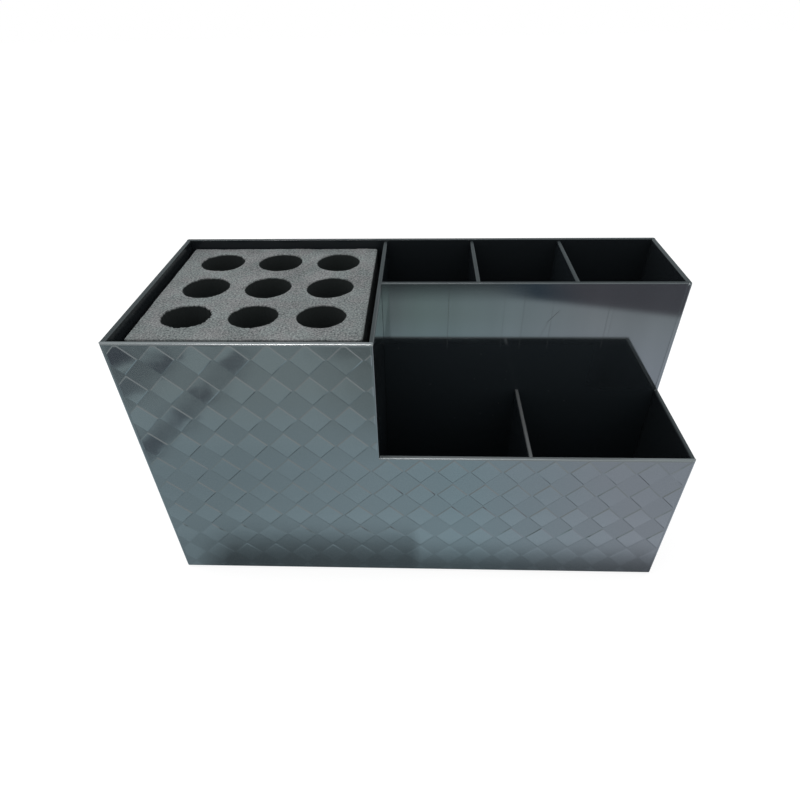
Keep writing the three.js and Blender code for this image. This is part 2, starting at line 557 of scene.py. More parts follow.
def sheetMesh(name, points, worn, outer, openNear=False):
    rows, columns = points.shape[:2]
    faces = ringFaces(rows, columns).tolist()
    caps = [list(range((rows - 1) * columns, rows * columns))]
    if not openNear:
        caps.append(list(range(columns)))
    mesh = bpy.data.meshes.new(name)
    mesh.from_pydata(points.reshape(-1, 3), [], faces + caps)
    smooth = [True] * len(faces) + [False] * len(caps)
    mesh.polygons.foreach_set("use_smooth", smooth)
    setAttribute(mesh, "edge", worn)
    setAttribute(mesh, "outer", outer)
    return mesh


def outward(mesh, joined=0):
    # every face turned to the outside, after points closer than the joined distance are one
    work = bmesh.new()
    work.from_mesh(mesh)
    if joined:
        bmesh.ops.remove_doubles(work, verts=work.verts, dist=joined)
    bmesh.ops.recalc_face_normals(work, faces=work.faces)
    stray = sum(1 for edge in work.edges if not edge.is_manifold)
    work.to_mesh(mesh)
    work.free()
    if stray:
        print("open edges in", mesh.name, stray)
    return mesh


def makeSheet(name, material, node, axis, outer, outline, edges, arcs):
    low, high = corners(node)
    arrays = sheetArrays(outline, edges, arcs, axis, low[axis], high[axis] - low[axis], outer)
    mesh = outward(sheetMesh(name, *arrays))
    addPiece(name, mesh, material, "case", "case_sheet", node)


def rectangle(low, high, axis):
    first, second = planeAxes[axis]
    left, right, bottom, top = low[first], high[first], low[second], high[second]
    return np.array([(left, bottom), (right, bottom), (right, top), (left, top)])


seam, foot, smallArc = panel["seam"], panel["foot"], panel["smallArc"]
soft, upright = (seam, seam, 0, 0), (seam, panel["upright"], 0, 0)
rim = (panel["rimOutside"], panel["rimInside"], 1, 1)
rimTurned = (panel["rimInside"], panel["rimOutside"], 1, 1)
rimFront = (panel["rimFront"], panel["rimInside"], 1, 1)
sideRim = (panel["rimOutside"], panel["sideRimInside"], 1, 1)
sideRimTurned = (panel["sideRimInside"], panel["rimOutside"], 1, 1)
divider = [soft, soft, (panel["dividerTop"], panel["dividerTop"], 1, 0), soft]
lowRim = corners("front_divider")[1][2]
towerRight = corners("bay_partition")[1][0]
stepFace = corners("middle_wall")[0][1]

# Each sheet: its node, its thin direction, whether its near and far faces are outsides, and
# its edges in the order bottom, right or back, top, left or front
plainSheets = {
    "back_wall": ("back_panel", 1, (0, 1), [(seam, foot, 0, 0), upright, rimTurned, upright]),
    "left_wall": ("left_panel", 0, (1, 0), [(foot, seam, 0, 0), soft, sideRim, soft]),
    "bay_floor": ("base_plate", 2, (0, 0), [soft] * 4),
    "foam_bay_wall": ("bay_partition", 0, (0, 1), divider),
    "rear_bay_wall": ("middle_wall", 1, (1, 0), [soft, soft, rim, soft]),
    "rear_bay_divider_left": ("rear_divider_left", 0, (0, 0), divider),
    "rear_bay_divider_right": ("rear_divider_right", 0, (0, 0), divider),
    "front_bay_divider": ("front_divider", 0, (0, 0), divider),
}


def makePlainSheets(materials):
    for name, (node, axis, outer, edges) in plainSheets.items():
        material = materials.get(name, materials["sheet"])
        outline = rectangle(*corners(node), axis)
        makeSheet(name, material, node, axis, outer, outline, edges, [smallArc] * 4)


def makeRightWall(material):
    low, high = corners("right_panel")
    outline = np.array([
        (low[1], low[2]), (high[1], low[2]), (high[1], high[2]),
        (stepFace, high[2]), (stepFace, lowRim), (low[1], lowRim)])
    step = (seam, panel["stepFront"], 0, 1)
    edges = [(seam, foot, 0, 0), soft, sideRimTurned, step, sideRimTurned, soft]
    arcs = [smallArc] * 3 + [panel["cornerArc"] * 2, panel["cornerArc"], smallArc]
    makeSheet("right_wall", material, "right_panel", 0, (0, 1), outline, edges, arcs)


# The patterned front

pattern = {
    "pitch": 15.7,  # millimetres across a diamond's points
    "relief": 0.25,
    "sink": 0.03,  # the grained ground lies this far behind the plain face
    "gap": 0.3,  # between the points of neighbours
    "bevel": 0.43,  # width of a diamond's two upper sloped borders, square to its side
    "lowerBevel": 0.42,  # and of its two lower ones
    "fieldBevel": 0.45,  # and of the rise along the edges of the whole field
    "bend": 7,  # degrees from which a bend in the pattern stays sharp
    "bevelSteps": (0, 0.25, 0.5, 0.75, 1, 1.7),  # grid lines from a border's foot, in its widths
    "faceSteps": (0.31, 0.155),  # and those over a face, from its middle in cells
    "fieldSteps": (0, 1 / 3, 2 / 3, 1, 1.6),
    "footRelief": (10.0, 40.0, 0.15),  # pressed flatter near the foot: heights and share there
    "firstColumn": 6.8,  # left edge to the first column of centres
    "firstRow": 7.6,  # upper rim to the first row of centres
    "border": 0.8,
    "sideBorder": 2.0,
    "tilt": 0.012,  # largest lean of one diamond's face, as a slope
    "crown": 0.025,  # how far a diamond's middle may swell or sink
    "groundTilt": 0.003,
    "seed": 5,
}
frontLow, frontHigh = corners("front_panel")
plainFace = frontLow[1] + pattern["relief"] * mm
cellSide = pattern["pitch"] * mm / math.sqrt(2)
firstDiamond = (frontLow[0] + pattern["firstColumn"] * mm, frontHigh[2] - pattern["firstRow"] * mm)
border = pattern["border"] * mm
fieldEdges = {
    "left": frontLow[0] + pattern["sideBorder"] * mm,
    "right": frontHigh[0] - pattern["sideBorder"] * mm,
    "bottom": frontLow[2] + border,
    "top": frontHigh[2] - border,
    "stepX": towerRight - border,
    "stepZ": lowRim - border,
}


def latticePlace(x, z):
    # along the two diagonal directions of the lattice, counted in cells
    across, up = x - firstDiamond[0], z - firstDiamond[1]
    return (across + up) / math.sqrt(2) / cellSide, (up - across) / math.sqrt(2) / cellSide


def cellChance(first, second, kind):
    # a number from -1 to 1 that belongs to one cell
    mixed = np.sin(first * 127.1 + second * 311.7 + kind * 74.7 + pattern["seed"]) * 43758.5453
    return 2 * (mixed - np.floor(mixed)) - 1


def smoothStep(value):
    value = np.clip(value, 0, 1)
    return value * value * (3 - 2 * value)


def fieldShare(x, z):
    # 0 on the edge of the patterned field, 1 from the width of its rise inside it
    edge = fieldEdges
    inside = np.minimum(x - edge["left"], edge["right"] - x)
    inside = np.minimum(inside, np.minimum(z - edge["bottom"], edge["top"] - z))
    inside = np.minimum(inside, np.maximum(edge["stepX"] - x, edge["stepZ"] - z))
    return smoothStep(inside / (pattern["fieldBevel"] * mm))


def patternHeight(x, z):
    # Raised and plain cells alternate on the diagonal lattice. A raised one climbs its
    # bevel, then leans and swells a little by its own chance; a plain one only leans.
    first, second = latticePlace(x, z)
    column, row = np.round(first), np.round(second)
    inFirst, inSecond = (first - column) * cellSide, (second - row) * cellSide
    raised = (column + row) % 2 == 0
    root = cellSide / 2 - pattern["gap"] * mm / 2 / math.sqrt(2)
    reach = np.maximum(np.abs(inFirst), np.abs(inSecond))
    upper = (root - np.maximum(inFirst, inSecond)) / (pattern["bevel"] * mm)
    lower = (root + np.minimum(inFirst, inSecond)) / (pattern["lowerBevel"] * mm)
    climb = np.clip(upper, 0, 1) * np.clip(lower, 0, 1)
    half = cellSide / 2
    lean = cellChance(column, row, 1) * inFirst + cellChance(column, row, 2) * inSecond
    bowl = 1 - (inFirst ** 2 + inSecond ** 2) / half ** 2
    swell = cellChance(column, row, 3) * pattern["crown"] * mm * bowl
    top = pattern["relief"] * mm + pattern["tilt"] * lean + swell
    low = pattern["groundTilt"] * lean * (1 - (reach / half) ** 2) - pattern["sink"] * mm
    start, end, least = pattern["footRelief"]
    pressed = least + (1 - least) * smoothStep((z - frontLow[2] - start * mm) / (end - start) / mm)
    climbed = climb * pressed * (top + pattern["sink"] * mm) - pattern["sink"] * mm
    share = fieldShare(x, z)
    return np.where(raised, climbed, low) * share, np.where(raised, climb, 0) * share


def latticeLines(first, last):
    # grid lines over the cells: close together at the bevels, wide on the faces
    half, root = 0.5, 0.5 - pattern["gap"] / 2 / pattern["pitch"]
    sides = []
    for width in (pattern["lowerBevel"], pattern["bevel"]):
        near = [root - width * mm / cellSide * share for share in pattern["bevelSteps"]]
        sides.append(np.array([*near, *pattern["faceSteps"]]))
    cell = np.concatenate(([-half], -sides[0], [0], sides[1][::-1]))
    return (np.arange(first, last + 1)[:, None] + cell).ravel()


def flatLattice():
    # every cell that reaches into the field, as one flat grid
    edge = fieldEdges
    boxX, boxZ = np.meshgrid([edge["left"], edge["right"]], [edge["bottom"], edge["top"]])
    first, second = latticePlace(boxX, boxZ)
    lines = [latticeLines(math.floor(way.min()) - 1, math.ceil(way.max()) + 1)
             for way in (first, second)]
    one, two = np.meshgrid(*lines, indexing="ij")
    x = firstDiamond[0] + (one - two) * cellSide / math.sqrt(2)
    z = firstDiamond[1] + (one + two) * cellSide / math.sqrt(2)
    rows, columns = one.shape
    row, column = np.meshgrid(np.arange(rows - 1), np.arange(columns - 1), indexing="ij")
    start = (row * columns + column).ravel()
    quads = np.stack((start, start + columns, start + columns + 1, start + 1), 1)
    quadX, quadZ = x.ravel()[quads], z.ravel()[quads]
    inTower = (quadX.min(1) < edge["stepX"]) & (quadZ.min(1) < edge["top"])
    inLow = (quadX.min(1) < edge["right"]) & (quadZ.min(1) < edge["stepZ"])
    kept = (inTower | inLow) & (quadX.max(1) > edge["left"]) & (quadZ.max(1) > edge["bottom"])
    used, renumbered = np.unique(quads[kept], return_inverse=True)
    points = np.stack((x.ravel()[used], np.full(len(used), plainFace), z.ravel()[used]), 1)
    return points, renumbered.reshape(-1, 4)


def cutField(work):
    # cut along the field's edges and its rise inside them, then drop what lies outside
    edge = fieldEdges
    cuts = [("left", 0, 1), ("right", 0, -1), ("bottom", 2, 1), ("top", 2, -1),
            ("stepX", 0, -1), ("stepZ", 2, -1)]
    for name, axis, way in cuts:
        for step in pattern["fieldSteps"]:
            place, normal = [0, plainFace, 0], [0, 0, 0]
            place[axis] = edge[name] + way * step * pattern["fieldBevel"] * mm
            normal[axis] = 1
            everything = work.verts[:] + work.edges[:] + work.faces[:]
            bmesh.ops.bisect_plane(
                work, geom=everything, dist=1e-7, plane_co=place, plane_no=normal)
    gone = []
    for face in work.faces:
        x, _, z = face.calc_center_median()
        inStep = x > edge["stepX"] and z > edge["stepZ"]
        outside = x < edge["left"] or x > edge["right"] or z < edge["bottom"] or z > edge["top"]
        if inStep or outside:
            gone.append(face)
    bmesh.ops.delete(work, geom=gone, context="FACES")


def patternMesh():
    points, quads = flatLattice()
    mesh = bpy.data.meshes.new("field")
    mesh.from_pydata(points, [], quads.tolist())
    work = bmesh.new()
    work.from_mesh(mesh)
    cutField(work)
    work.to_mesh(mesh)
    work.free()
    points = meshPoints(mesh)
    height, _ = patternHeight(points[:, 0], points[:, 2])
    points[:, 1] = plainFace - height
    mesh.vertices.foreach_set("co", points.astype(np.float32).ravel())
    mesh.polygons.foreach_set("use_smooth", [True] * len(mesh.polygons))
    mesh.update()
    mesh.set_sharp_from_angle(angle=math.radians(pattern["bend"]))
    return mesh


def makeFront(material):
    low, high = frontLow, frontHigh
    outline = np.array([
        (low[0], low[2]), (high[0], low[2]), (high[0], lowRim),
        (towerRight, lowRim), (towerRight, high[2]), (low[0], high[2])])
    corner, step = (panel["upright"], seam, 0, 0), (panel["stepFront"], seam, 0, 1)
    edges = [(foot, seam, 0, 0), corner, rimFront, step, rimFront, corner]
    arcs = [smallArc] * 3 + [panel["cornerArc"], panel["cornerArc"] * 2, smallArc]
    arrays = sheetArrays(outline, edges, arcs, 1, plainFace, high[1] - plainFace, (1, 0))
    body = sheetMesh("body", *arrays, openNear=True)
    work = bmesh.new()
    work.from_mesh(body)
    work.from_mesh(patternMesh())
    rings = [edge for edge in work.edges if edge.is_boundary]
    bmesh.ops.triangle_fill(work, edges=rings, use_beauty=True, normal=(0, -1, 0))
    mesh = bpy.data.meshes.new("patterned_front")
    work.to_mesh(mesh)
    work.free()
    outward(mesh)
    points = meshPoints(mesh)
    raised = patternHeight(points[:, 0], points[:, 2])[1]
    behind = points[:, 1] > plainFace + 0.02 * mm
    raised[behind] = 0
    first, second = latticePlace(points[:, 0], points[:, 2])
    setAttribute(mesh, "raised", raised)
    setAttribute(mesh, "tone", cellChance(np.round(first), np.round(second), 4))
    addPiece("patterned_front", mesh, material, "case", "front_sheet", "front_panel")


front = {
    "face": grey(0.012, 0.05),
    "ground": grey(0.014, 0.04),
    "cellTones": (0.75, 1.3),  # one cell's ground against the next
    "grainTones": (0.8, 1.25),
    "groundRoughness": (0.1275, 0.1725),
    "grainHeight": 0.014,
    "grainScale": 2600,
    # the raised diamonds' coat differs least from the ground at half height: two heights in
    # metres, and the coat at each, up to the tower's rim and down to the foot
    "coatUp": (0.078, 0.098, 0.25, 1.0),
    "coatDown": (0.062, 0.042, 0.25, 0.7),
    "ior": 2.7,
    "coatIor": 1.5,
}


def frontColour(tree, place):
    tone = ramp(tree, attribute(tree, "tone"), -1, 1, *front["cellTones"])
    share = times(tree, tone, grainTone(tree, place, front, "grainTones"))
    ground = mixColour(tree, share, black, front["ground"])
    pieces = mixColour(tree, attribute(tree, "raised"), ground, front["face"])
    worn = mixColour(tree, attribute(tree, "edge"), pieces, gloss["rim"])
    return dusted(tree, place, worn, 1.0)


def frontSmooth(tree):
    return larger(tree, attribute(tree, "raised"), attribute(tree, "edge"))


def frontRoughness(tree, place):
    rough = grainTone(tree, place, front, "groundRoughness")
    return mixValue(tree, frontSmooth(tree), rough, glossRoughness(tree, place))


def frontHeight(tree, place):
    fine = grainAt(tree, place, front["grainScale"], "Height")
    bare = calc(tree, "SUBTRACT", 1.0, frontSmooth(tree))
    grainy = times(tree, fine, bare, front["grainHeight"])
    return calc(tree, "ADD", glossHeight(tree, place), grainy)


def frontCoat(tree, place):
    z = parts(tree, place)["Z"]
    upper, lower = [ramp(tree, z, *front[way]) for way in ("coatUp", "coatDown")]
    return times(tree, frontSmooth(tree), larger(tree, upper, lower))


def makeFrontFinish():
    return finish(
        "embossed black sheet", frontColour, frontRoughness, frontHeight, 1.0, gloss["waveDepth"],
        IOR=front["ior"], Coat_Weight=frontCoat, Coat_IOR=front["coatIor"],
        Coat_Roughness=gloss["coatRoughness"],
    )


# The foam block

foam = {
    "hole": 22.9,
    "pitchShare": 0.303,  # spacing of the holes, of the block's side
    "shift": (0.5, 0.8),  # the hand-punched grid sits off the block's middle
    "sidePoints": 48,  # points along one side of a hole's own square
    "rimRound": 0.35,
    "edgeRound": 0.6,
    "waves": (7, 30, 0.14),  # of the top: shortest, longest and height
    "crumbs": (1.3, 3.5, 0.04),
    "sideWaves": (4, 40),
    "topDrop": 0.2,  # the middle of the top's waves lies this far below the block's own top
    "wallDrop": 0.8,  # and the first row of its walls starts here
    "slack": (0.12, 0.1),  # the sides are cut this far inside the block, and wander so far
    "oval": 0.12,
    "ragged": (3, 41),  # fewest and most short waves round a hole
    # their random size is divided by 3.4, or from 9 waves round on by 2 plus 0.12 for each
    "divisors": (9, 3.4, 2.0, 0.12),
    "calming": 60,  # depth in millimetres times waves round at which a wave is down to a third
    # rows down a wall, closest together under the top, and loops round a hole by their share
    # of the way out to its square
    "rows": (0.15, 0.5, 1.0, 1.7, 2.8, 4.5, 7, 10, 15, 22, 32, 45, 62, 82, 104, 124),
    "loops": (0, 0.012, 0.03, 0.06, 0.11, 0.18, 0.27, 0.37, 0.48, 0.6, 0.72, 0.83, 0.91, 0.96,
              0.985, 1),
    "bottomLoops": (0, 0.5, 1),
    "frontSlack": 0.5,  # the front side is cut a little short
    "cornerRound": 2.0,
    "paintedSideShade": 0.3,  # painted shade: the cut sides and underside take only this share of the top's colour
    # each hole, from the back left: raggedness, shift right and back, depth of its width
    "holes": ((0.1, 0, 0.3, 0.965), (0.08, 0, 0.3, 0.965), (0.06, 0, 0.3, 0.965),
              (0.12, 0, 0.1, 0.985), (0.08, -0.2, 0.2, 0.985), (0.06, -0.5, 0.2, 0.985),
              (0.22, -0.4, 0.95, 0.92), (0.13, -0.6, 0.95, 0.92), (0.07, -0.7, 0.95, 0.92)),
    "seed": 11,
}
foamLow, foamHigh = corners("foam_insert")
foamSize = foamHigh - foamLow


def waveSum(seed, count, shortest, longest, dimensions):
    # a smooth random surface: many sine waves of random length, direction and phase
    chance = np.random.default_rng(seed)
    length = np.exp(chance.uniform(np.log(shortest), np.log(longest), count)) * mm
    way = chance.normal(size=(count, dimensions))
    way /= np.linalg.norm(way, axis=1, keepdims=True)
    phase = chance.uniform(0, 2 * np.pi, count)

    def height(points):
        angle = points @ (way * (2 * np.pi / length)[:, None]).T + phase
        return np.sin(angle).sum(-1) / math.sqrt(count / 2) / 2
    return height


topWaves = waveSum(foam["seed"], 40, *foam["waves"][:2], 2)
topCrumbs = waveSum(foam["seed"] + 1, 60, *foam["crumbs"][:2], 2)
sideWaves = waveSum(foam["seed"] + 2, 40, *foam["sideWaves"], 3)


def raggedRadius(angle, depth, hole):
    # the punched hole's radius: a slightly oval circle, plus short waves round it that
    # change slowly down its wall
    chance = np.random.default_rng(foam["seed"] + 20 + hole)
    rough, _, _, flat = foam["holes"][hole]
    radius = foam["hole"] / 2 / np.sqrt(np.cos(angle) ** 2 + (np.sin(angle) / flat) ** 2)
    radius = radius + foam["oval"] * np.cos(2 * (angle - chance.uniform(0, np.pi)))
    fewest, most = foam["ragged"]
    change, steady, least, growth = foam["divisors"]
    for count in range(fewest, most + 1):
        size = rough * chance.normal() / (steady if count < change else least + growth * count)
        phase = chance.uniform(0, 2 * np.pi)
        size = size * math.exp(-depth / mm * count / foam["calming"])
        radius = radius + size * np.cos(count * angle + phase)
    return radius * mm


def holeCentre(column, row):
    share = foam["pitchShare"]
    shiftX, shiftY = foam["shift"]
    x = foamLow[0] + foamSize[0] * (0.5 + (column - 1) * share) + shiftX * mm
    y = foamLow[1] + foamSize[1] * (0.5 + (row - 1) * share) + shiftY * mm
    return np.array([x, y])


def cellLimits(axis):
    # the block's sides and the lines half way between the holes
    places = [holeCentre(index, index)[axis] for index in range(3)]
    middle = [(places[0] + places[1]) / 2, (places[1] + places[2]) / 2]
    return [foamLow[axis], *middle, foamHigh[axis]]


def sideSteps(limits):
    # points evenly from each limit to the next
    share = np.arange(foam["sidePoints"]) / foam["sidePoints"]
    return np.concatenate([start + (end - start) * share for start, end in zip(limits, limits[1:])])


def squareLoop(limitsX, limitsY):
    # points along the four sides, from the lower left corner
    alongX, backX = sideSteps(limitsX), sideSteps(limitsX[::-1])
    alongY, backY = sideSteps(limitsY), sideSteps(limitsY[::-1])
    still = np.ones(len(alongX))
    return np.concatenate([
        np.stack((alongX, limitsY[0] * still), 1), np.stack((limitsX[-1] * still, alongY), 1),
        np.stack((backX, limitsY[-1] * still), 1), np.stack((limitsX[0] * still, backY), 1)])


def atHeight(flat, height):
    return np.column_stack((flat, np.broadcast_to(height, len(flat))))


def roundBlock(points):
    # the upright corners: a point within the corner's square is drawn onto its arc
    radius = foam["cornerRound"] * mm
    low, high = foamLow[:2] + radius, foamHigh[:2] - radius
    centre = np.clip(points, low, high)
    away = points - centre
    distance = np.linalg.norm(away, axis=1, keepdims=True)
    inCorner = (np.abs(away) > 1e-9).all(1, keepdims=True)
    onArc = centre + away / np.maximum(distance, 1e-9) * np.abs(away).max(1, keepdims=True)
    return np.where(inCorner, onArc, points)


def insideBlock(points):
    # how far inside the block's left or right and front or back sides the points are
    return np.minimum(points - foamLow[:2], foamHigh[:2] - points)


def foamTop(points, fromHole):
    # the top face: slow waves and crumbs, falling away round the holes and at the sides
    height = foam["waves"][2] * topWaves(points) + foam["crumbs"][2] * topCrumbs(points)
    fall = drawnIn(fromHole / mm, foam["rimRound"])
    fall = fall + drawnIn(insideBlock(points).min(1) / mm, foam["edgeRound"])
    return foamHigh[2] + (height - foam["topDrop"] - fall) * mm


def sideSlack(points, depth):
    # how far the cut sides wander inwards, never outwards
    least, wander = foam["slack"]
    return (least + wander * np.clip(sideWaves(atHeight(points, depth)), -1.1, 1.1)) * mm


def drawInside(points, depth):
    middle = (foamLow[:2] + foamHigh[:2]) / 2
    slack = np.repeat(sideSlack(points, depth)[:, None], 2, axis=1)
    slack[:, 1] += np.where(points[:, 1] < middle[1], foam["frontSlack"] * mm, 0)
    onSide = insideBlock(points) < 1e-7
    return points + np.where(onSide, np.sign(middle - points) * slack, 0)


def outerLoop(square, depth):
    # a hole's square, with the points on the block's own outline drawn in as its sides are
    onSide = (insideBlock(square) < 1e-7).any(1, keepdims=True)
    return np.where(onSide, roundBlock(drawInside(square, depth)), square)


foamRows = np.array(foam["rows"]) * mm
wallTop = foamHigh[2] - foam["wallDrop"] * mm


def foamCell(column, row, limitsX, limitsY):
    # one hole in its own square: in over the top face, down the hole, and out underneath
    hole = (2 - row) * 3 + column
    centre = holeCentre(column, row) + np.array(foam["holes"][hole][1:3]) * mm
    square = squareLoop(limitsX[column:column + 2], limitsY[row:row + 2])
    angle = -0.75 * np.pi + np.arange(len(square)) * 2 * np.pi / len(square)
    ray = np.stack((np.cos(angle), np.sin(angle)), 1)

    def ring(depth):
        return centre + ray * raggedRadius(angle, depth, hole)[:, None]
    loops = []
    inner, outer = ring(0), outerLoop(square, 0)
    for share in foam["loops"][::-1]:
        flat = inner + (outer - inner) * share
        loops.append(atHeight(flat, foamTop(flat, np.linalg.norm(flat - inner, axis=1))))
    for depth in foamRows:
        loops.append(atHeight(ring(depth), wallTop - depth))
    inner, outer = ring(foamSize[2]), outerLoop(square, foamSize[2])
    for share in foam["bottomLoops"]:
        loops.append(atHeight(inner + (outer - inner) * share, foamLow[2]))
    # the underside gets the painted side shade
    skin = [1.0] * len(foam["loops"]) + [0.0] * (len(foamRows) + 1) + [foam["paintedSideShade"]] * 2
    return np.array(loops), skin


def foamSide(limitsX, limitsY):
    # the block's outer wall: its outline at each depth, from the top face's edge down
    outline = squareLoop(limitsX, limitsY)
    edge = roundBlock(drawInside(outline, 0))
    loops = [atHeight(edge, foamTop(edge, 1.0))]
    for depth in foamRows + foam["edgeRound"] * mm:
        loops.append(atHeight(roundBlock(drawInside(outline, depth)), wallTop - depth))
    loops.append(atHeight(roundBlock(drawInside(outline, foamSize[2])), foamLow[2]))
    # below its top edge the side gets the painted side shade
    return np.array(loops), [1.0] + [foam["paintedSideShade"]] * (len(loops) - 1)


def makeFoam(material):
    limitsX, limitsY = cellLimits(0), cellLimits(1)
    grids = [foamCell(column, row, limitsX, limitsY) for row in range(3) for column in range(3)]
    grids.append(foamSide(limitsX, limitsY))
    points, faces, skins, start = [], [], [], 0
    for grid, skin in grids:
        rows, columns = grid.shape[:2]
        points.append(grid.reshape(-1, 3))
        skins.append(np.repeat(skin, columns))
        faces.append(ringFaces(rows, columns) + start)
        start += rows * columns
    mesh = bpy.data.meshes.new("foam_block")
    mesh.from_pydata(np.concatenate(points), [], np.concatenate(faces).tolist())
    setAttribute(mesh, "skin", np.concatenate(skins))
    outward(mesh, 1e-6)
    mesh.polygons.foreach_set("use_smooth", [True] * len(mesh.polygons))
    piece = addPiece("foam_block", mesh, material, "insert", "foam", "foam_insert")


foamFinish = {
    "dark": (0.05, 0.056, 0.057, 1),
    "light": (0.24, 0.268, 0.266, 1),
    "warm": (0.255, 0.262, 0.264, 1),
    "inside": (0.021, 0.025, 0.025, 1),
    "fleck": grey(0.5),
    "flecks": (900, 0.3, 0.05),  # scale, size and share of the pale flecks
    "fleckShare": 0.6,
    "cloudScale": 55,
    "clouds": (-0.12, 0.16),
    "patchScale": 130,
    "grainScale": 2700,
    "roughness": (0.85, 1.0),
    "bump": (0.6, 0.16),  # strength, and depth in millimetres
    "specular": 0.25,
}


def foamColour(tree, place):
    cloudy = noiseAt(tree, place, foamFinish["cloudScale"], 3)
    clouds = ramp(tree, cloudy, 0.3, 0.7, *foamFinish["clouds"])
    share = calc(tree, "ADD", grainTone(tree, place, foamFinish), clouds)
    patchy = ramp(tree, noiseAt(tree, place, foamFinish["patchScale"], 2), 0.4, 0.6)
    light = mixColour(tree, patchy, foamFinish["light"], foamFinish["warm"])
    skin = mixColour(tree, share, foamFinish["dark"], light)
    fleck = times(tree, speckMask(tree, place, *foamFinish["flecks"]), foamFinish["fleckShare"])
    flecked = mixColour(tree, fleck, skin, foamFinish["fleck"])
    # skin is 1 on the top and 0 down the holes; on the cut sides its lower share is painted shade
    return mixColour(tree, attribute(tree, "skin"), foamFinish["inside"], flecked)


# The feet

pad = {
    "profile": (  # radius and height in millimetres, from the middle of the underside
        (0, 0.12), (1.6, 0.12), (1.9, 0), (3.0, 0), (3.15, 0.1), (3.45, 0.1), (3.6, 0), (5.3, 0),
        (5.62, 0.05), (5.86, 0.18), (5.97, 0.4), (6.0, 0.65), (5.96, 0.9), (5.9, 1.0), (0, 1.0)),
    "points": 72,
    "bend": 50,  # degrees from which a bend in the profile stays sharp
    "grainScale": 1200,
    "dark": grey(0.014),
    "light": grey(0.03),
    "roughness": (0.65, 0.85),
    "bump": (0.5, 0.1),
}


def makeFeet(material):
    # a profile turned about its upright axis, closed by one point at each end
    profile = np.array(pad["profile"]) * mm
    count = pad["points"]
    angle = np.arange(count) * 2 * np.pi / count
    ring = profile[1:-1]
    body = np.stack((ring[:, :1] * np.cos(angle), ring[:, :1] * np.sin(angle),
                     ring[:, 1:] * np.ones(count)), -1).reshape(-1, 3)
    ends = np.array([(0, 0, profile[0, 1]), (0, 0, profile[-1, 1])])
    after = (np.arange(count) + 1) % count
    last = (len(ring) - 1) * count
    lower = [(len(body), after[index], index) for index in range(count)]
    upper = [(len(body) + 1, last + index, last + after[index]) for index in range(count)]
    faces = ringFaces(len(ring), count).tolist() + lower + upper
    for name in ("front_left", "front_right", "back_left", "back_right"):
        low, high = corners("foot_" + name)
        middle = (low + high) / 2
        mesh = bpy.data.meshes.new("pad_" + name)
        mesh.from_pydata(np.concatenate((body, ends)) + (middle[0], middle[1], low[2]), [], faces)
        mesh.set_sharp_from_angle(angle=math.radians(pad["bend"]))
        mesh.polygons.foreach_set("use_smooth", [True] * len(mesh.polygons))
        addPiece("pad_" + name, outward(mesh), material, "case", "foot_pad", "foot_" + name)


def rubberColour(tree, place):
    return mixColour(tree, grainTone(tree, place, pad), pad["dark"], pad["light"])


# Floor, sky and lamps

